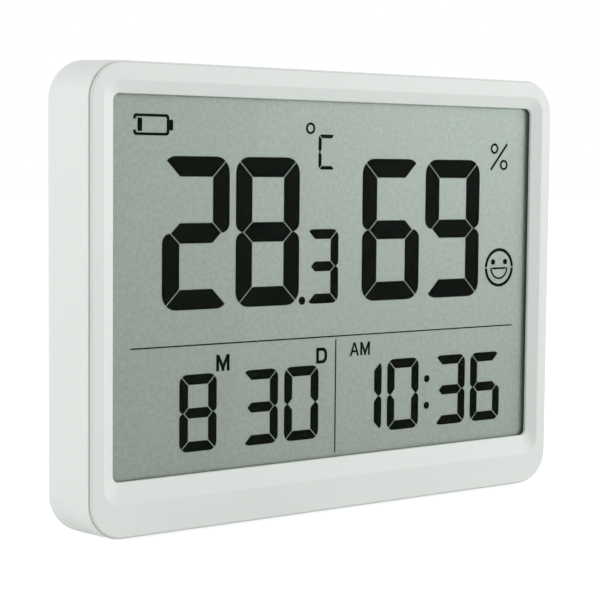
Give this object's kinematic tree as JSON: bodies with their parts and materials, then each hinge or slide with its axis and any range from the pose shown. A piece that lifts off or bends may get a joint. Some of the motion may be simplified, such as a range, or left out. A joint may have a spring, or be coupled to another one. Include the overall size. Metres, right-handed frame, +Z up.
{
  "type": "thermometer hygrometer clock",
  "caption": "Rounded white case with a large grey-green liquid crystal display of temperature, humidity, date and time; folding stand, battery door and press buttons on the back.",
  "frame": {"origin": "middle of the case's underside, on the surface that the clock stands on", "axes": "+X to the right seen from the front, +Y from the front to the back, +Z up"},
  "size_m": [0.1212, 0.0168, 0.0915],
  "materials": {
    "white_abs": "moulded, fine matt texture",
    "black_nylon": "moulded, matt",
    "plated_steel": "nickel plated",
    "green_board": "solder mask",
    "black_resin": "cast resin",
    "tan_ceramic": "fired",
    "white_ceramic": "fired",
    "black_rubber": "matt",
    "pale_foam": "closed-cell foam tape",
    "polariser_film": "anti-glare film",
    "display_glass": "polished",
    "reflector_film": "satin reflecting film",
    "display_segments": "dark liquid crystal",
    "cell_jacket": "printed metal jacket",
    "red_pvc": "extruded",
    "black_pvc": "extruded"
  },
  "bodies": {
    "case": {"front_bezel": "white_abs", "rear_cover": "white_abs", "case_screws": "plated_steel", "board_screws": "plated_steel", "main_board": "green_board", "resin_drop": "black_resin", "watch_crystal": "plated_steel", "chip_resistors": "black_resin", "chip_capacitors": "tan_ceramic", "humidity_sensor": "white_ceramic", "thermistor": "black_resin", "switch_bodies": "black_nylon", "switch_plates": "plated_steel", "contact_strip": "black_rubber", "display_gasket": "pale_foam", "front_polariser": "polariser_film", "front_glass": "display_glass", "rear_glass": "display_glass", "rear_reflector": "reflector_film", "temperature_digits": "display_segments", "humidity_digits": "display_segments", "date_digits": "display_segments", "time_digits": "display_segments", "unit_marks": "display_segments", "battery_mark": "display_segments", "comfort_mark": "display_segments", "divider_lines": "display_segments", "upper_cell": "cell_jacket", "lower_cell": "cell_jacket", "positive_contact": "plated_steel", "negative_contact": "plated_steel", "bridge_contact": "plated_steel", "red_lead": "red_pvc", "black_lead": "black_pvc"},
    "stand": {"stand_leg": "white_abs"},
    "door": {"battery_door": "white_abs"},
    "set_key": {"set_button": "white_abs", "set_plunger": "black_nylon"},
    "up_key": {"up_button": "white_abs", "up_plunger": "black_nylon"},
    "down_key": {"down_button": "white_abs", "down_plunger": "black_nylon"}
  },
  "joints": [
    {"name": "stand_hinge", "type": "hinge", "parent": "case", "child": "stand", "pos_m": [0, 0.0065, 0.03695], "axis": [1, 0, 0], "range_deg": [0, 40]},
    {"name": "door_hinge", "type": "hinge", "parent": "case", "child": "door", "pos_m": [0, 0.0084, 0.07025], "axis": [1, 0, 0], "range_deg": [0, 80]},
    {"name": "set_press", "type": "slide", "parent": "case", "child": "set_key", "axis": [0, -1, 0], "range_m": [0, 0.00035], "stiffness_N_per_m": 2000},
    {"name": "up_press", "type": "slide", "parent": "case", "child": "up_key", "axis": [0, -1, 0], "range_m": [0, 0.00035], "stiffness_N_per_m": 2000},
    {"name": "down_press", "type": "slide", "parent": "case", "child": "down_key", "axis": [0, -1, 0], "range_m": [0, 0.00035], "stiffness_N_per_m": 2000}
  ]
}
